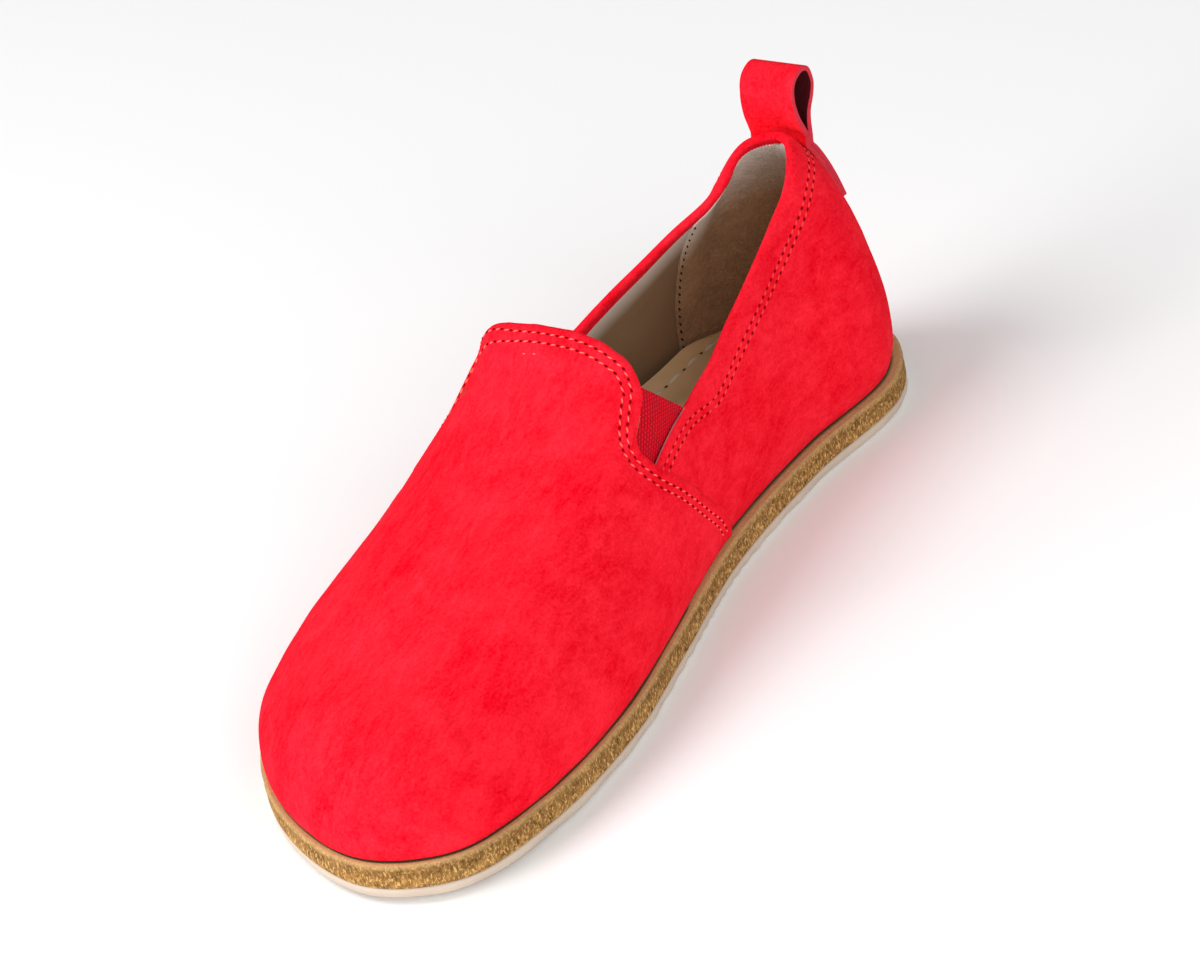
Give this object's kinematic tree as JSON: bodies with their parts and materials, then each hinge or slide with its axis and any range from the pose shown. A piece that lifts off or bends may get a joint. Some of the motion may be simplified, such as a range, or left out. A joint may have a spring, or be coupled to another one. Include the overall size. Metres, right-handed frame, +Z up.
{
  "type": "slip-on shoe",
  "caption": "Low slip-on shoe for the right foot: leather upper with a high vamp lapped over the quarter, elastic side gores, heel pull loop and flat leather sole on thin rubber.",
  "frame": {"origin": "on the floor under the middle of the sole's length and width", "axes": "+X from heel to toe, +Y to the medial side, +Z up from the floor"},
  "size_m": [0.26, 0.0981, 0.0961],
  "materials": {
    "nubuck": "matt napped leather",
    "elastic": "ribbed woven elastic",
    "sole_leather": "raw fibrous cut edge",
    "insole_leather": "smooth matt leather",
    "rubber": "matt rubber"
  },
  "bodies": {
    "root": {"outsole": "rubber", "midsole": "sole_leather", "insole": "insole_leather", "upper": "nubuck", "gore_medial": "elastic", "gore_lateral": "elastic", "pull_loop": "nubuck"}
  },
  "joints": []
}
